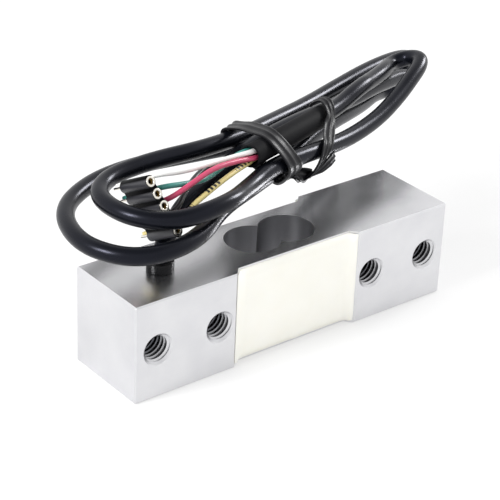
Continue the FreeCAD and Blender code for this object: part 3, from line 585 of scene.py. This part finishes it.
def along_route(values, place, closed):
    """The smooth value at a place between the route's points, which are numbered from nought."""
    count = len(values)
    first = min(int(place), count - 1 if closed else count - 2)
    part = place - first
    picks = [first + step for step in (-1, 0, 1, 2)]
    before, here, ahead, after = (
        values[pick % count] if closed else values[min(max(pick, 0), count - 1)] for pick in picks)
    return 0.5 * (
        2 * here + (ahead - before) * part + (2 * before - 5 * here + 4 * ahead - after) * part ** 2
        + (3 * (here - ahead) + after - before) * part ** 3)


def evenly(route, gap):
    """A closed route with its points set at even steps, so that the smooth line through them has no swing."""
    ends = list(zip(route, route[1:] + route[:1]))
    lengths = [(Vector(after[0]) - Vector(before[0])).length for before, after in ends]
    count = round(sum(lengths) / gap)
    spaced = []
    for number in range(count):
        left = sum(lengths) * number / count
        for (before, after), length in zip(ends, lengths):
            if left <= length:
                share = left / length
                spaced.append((Vector(before[0]).lerp(Vector(after[0]), share), before[1].lerp(after[1], share)))
                break
            left -= length
    return spaced


def strap_run(name, route, width, closed=False):
    """A flat strap with a middle rib and two beaded edges, laid along places and outward ways in the hank's axes."""
    middles, outwards = [Vector(point) for point, way in route], [way for point, way in route]
    spans = len(route) if closed else len(route) - 1
    reach = 0.05
    bpy.ops.object.select_all(action="DESELECT")
    bpy.ops.mesh.primitive_grid_add(x_subdivisions=spans * (2 if closed else 8), y_subdivisions=STRAP_ROWS, size=1)
    strip = bpy.context.object
    strip.name = name
    for corner in strip.data.vertices:
        place, sideways = (corner.co.x + 0.5) * spans, corner.co.y
        middle = along_route(middles, place, closed)
        behind, ahead = place - reach, place + reach
        if not closed:
            behind, ahead = max(behind, 0), min(ahead, spans)
        run = (along_route(middles, ahead % spans if closed else ahead, closed)
               - along_route(middles, behind % spans if closed else behind, closed)).normalized()
        outward = along_route(outwards, place % spans if closed else place, closed)
        side = outward.cross(run).normalized()
        outward = run.cross(side).normalized()
        rib = RIB_HEIGHT * math.exp(-(sideways / RIB_SPREAD) ** 2)
        bead = BEAD_HEIGHT * math.exp(-((abs(sideways) - BEAD_PLACE) / BEAD_SPREAD) ** 2)
        spot = middle + side * (sideways * width) + outward * (STRAP_LIFT + rib + bead)
        corner.co = (HANK_ORIGIN + HANK_ACROSS * spot.x + HANK_UP * spot.y + HANK_ALONG * spot.z) * MM
    bpy.ops.object.mode_set(mode="EDIT")
    bpy.ops.mesh.select_all(action="SELECT")
    bpy.ops.mesh.remove_doubles(threshold=0.005 * MM)
    bpy.ops.object.mode_set(mode="OBJECT")
    finish_with(strip, "SOLIDIFY", thickness=STRAP_THICKNESS * MM, offset=-1)
    return strip


# the turn: round each corner in small steps, on the slanting plane
turn_route = []
for number, corner in enumerate(TURN_CORNERS):
    before, after = TURN_CORNERS[number - 1], TURN_CORNERS[(number + 1) % len(TURN_CORNERS)]
    arrive = math.degrees(math.atan2(corner[1] - before[1], corner[0] - before[0])) - 90
    leave = math.degrees(math.atan2(after[1] - corner[1], after[0] - corner[0])) - 90
    bend = (leave - arrive) % 360
    for step in range(CORNER_STEPS + 1) if bend < 180 else ():
        way = heading(arrive + bend * step / CORNER_STEPS)
        across, up = corner[0] + way.x * STRAP_INSIDE, corner[1] + way.y * STRAP_INSIDE
        turn_route.append(((across, up, TURN_AT + TURN_SLOPE[0] * across + TURN_SLOPE[1] * up), way))
    # the stiff strap bows outwards on the way to the next corner
    away = math.hypot(after[0] - corner[0], after[1] - corner[1])
    if away > BOWED_FROM:
        way = heading(leave)
        across = (corner[0] + after[0]) / 2 + way.x * (STRAP_INSIDE + STRAP_BOW * away)
        up = (corner[1] + after[1]) / 2 + way.y * (STRAP_INSIDE + STRAP_BOW * away)
        turn_route.append(((across, up, TURN_AT + TURN_SLOPE[0] * across + TURN_SLOPE[1] * up), way))
turn_route = evenly(turn_route, TURN_STEP)
for rounding in range(TURN_ROUNDINGS):
    neighbours = zip(turn_route[-1:] + turn_route[:-1], turn_route, turn_route[1:] + turn_route[:1])
    turn_route = [
        ((before[0] + here[0] * 2 + ahead[0]) / 4, (before[1] + here[1] * 2 + ahead[1]) / 4)
        for before, here, ahead in neighbours]
strips = [strap_run("strap_turn", turn_route, TURN_WIDTH, closed=True)]
# the twist: two lengths of the strap wound round each other
twist_start, twist_end = (Vector(end) for end in TWIST_ENDS)
for half_turn in (0, 180):
    twist_route = []
    for step in range(TWIST_STEPS + 1):
        way = heading(half_turn + 90 + TWIST_ANGLE * step / TWIST_STEPS)
        twist_route.append((twist_start.lerp(twist_end, step / TWIST_STEPS) + way * TWIST_SPREAD, way))
    strips.append(strap_run("strap_twist", twist_route, TWIST_WIDTH))
strips.append(strap_run("strap_led_up", [(point[:3], heading(point[3])) for point in LED_UP], LED_UP_WIDTH))
strips.append(strap_run("strap_tail", [(point[:3], heading(point[3])) for point in TAIL], TAIL_WIDTH))
alone(strips[0])
for strip in strips:
    strip.select_set(True)
bpy.ops.object.join()
tie = strips[0]
tie.name = "twist_strap"
smoothed(tie, 50)
# Strap plastic: soft black with a scuffed satin sheen along its ribs
strap, tree, surface = new_material("ribbed_strap_plastic")
scuff, tone = mottled(tree, 0.8, 4.0, ("#131316", "#1d1d20"))
gloss = add_node(tree, "MapRange", {"Value": scuff, "To Min": 0.3, "To Max": 0.5})
relief = add_node(tree, "Bump", {"Height": scuff, "Strength": 0.2, "Distance": 0.03 * MM})
shader = add_node(tree, "BsdfPrincipled", {
    "Base Color": tone, "Roughness": gloss.outputs["Result"], "IOR": 1.5, "Specular IOR Level": 0.2,
    "Normal": relief.outputs["Normal"]})
tree.links.new(shader.outputs["BSDF"], surface)
dress(tie, strap)
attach(tie, "root")
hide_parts("twist_tie")


# ---- Bench and studio light --------------------------------------------------------------------------
# A white bench in a white tent: soft light from all round, with a small softbox on each side. The bench and the tent
# look white to the camera and in reflections, and the bench keeps the shadow.
BENCH_WIDTH, BENCH_GLOW = 12.0, 0.5
TENT_LIGHT = 0.9
TENT_DIMMING = {"From Min": 0.7, "From Max": 0.95, "To Min": 1.0, "To Max": 0.35}


def seen_plainly(tree):
    """One for a ray from the camera, or one by way of a shiny or clear surface, and nought for any other."""
    path = add_node(tree, "LightPath").outputs
    seen = add_node(tree, "Math", {0: path["Is Camera Ray"], 1: path["Is Glossy Ray"]}, operation="MAXIMUM")
    seen = add_node(tree, "Math", {0: seen.outputs[0], 1: path["Is Transmission Ray"]}, operation="MAXIMUM")
    return seen.outputs[0]


bpy.ops.object.select_all(action="DESELECT")
bpy.ops.mesh.primitive_plane_add(size=BENCH_WIDTH)
bench = bpy.context.object
bench.name = "bench"
# White paper: half of what is seen is its own even white, the other half takes the shadow
paper, tree, surface = new_material("white_paper")
matt = add_node(tree, "BsdfDiffuse", {"Color": linear("#e6e6e6")})
glow = add_node(tree, "Emission", {"Color": linear("#ffffff"), "Strength": 1.0})
share = add_node(tree, "Math", {0: seen_plainly(tree), 1: BENCH_GLOW}, operation="MULTIPLY")
mix = add_node(tree, "MixShader", {0: share.outputs[0], 1: matt.outputs["BSDF"], 2: glow.outputs["Emission"]})
tree.links.new(mix.outputs["Shader"], surface)
dress(bench, paper)

tent = bpy.data.worlds.new("white_tent")
tent.use_nodes = True
tree = tent.node_tree
tree.nodes.clear()
lit = add_node(tree, "Background", {"Color": linear("#ffffff"), "Strength": TENT_LIGHT})
# what is seen of the tent is white, and dimmer overhead
direction = add_node(tree, "SeparateXYZ", {"Vector": add_node(tree, "TexCoord").outputs["Generated"]})
dimmer = add_node(
    tree, "MapRange", {"Value": direction.outputs["Z"], **TENT_DIMMING}, interpolation_type="SMOOTHSTEP")
white = add_node(tree, "Background", {"Color": linear("#ffffff"), "Strength": dimmer.outputs["Result"]})
mix = add_node(tree, "MixShader", {0: seen_plainly(tree), 1: lit.outputs[0], 2: white.outputs[0]})
tree.links.new(mix.outputs["Shader"], add_node(tree, "OutputWorld").inputs["Surface"])
bpy.context.scene.world = tent

LAMPS = {
    # name: place and aim in millimetres, width in millimetres, power in watts
    "left_lamp": ((-510, 40, 330), (-10, 0, 25), 160, 3.4),
    "right_lamp": ((560, 50, 270), (10, 10, 25), 150, 2.0),
}
for name, (stand, aim, width, power) in LAMPS.items():
    lamp = bpy.data.objects.new(name, bpy.data.lights.new(name, "AREA"))
    lamp.data.shape = "SQUARE"
    lamp.data.size = width * MM
    lamp.data.energy = power
    lamp.location = Vector(stand) * MM
    lamp.rotation_euler = (Vector(stand) - Vector(aim)).to_track_quat("Z", "Y").to_euler()
    bpy.context.scene.collection.objects.link(lamp)

bpy.context.scene.view_settings.view_transform = "Standard"
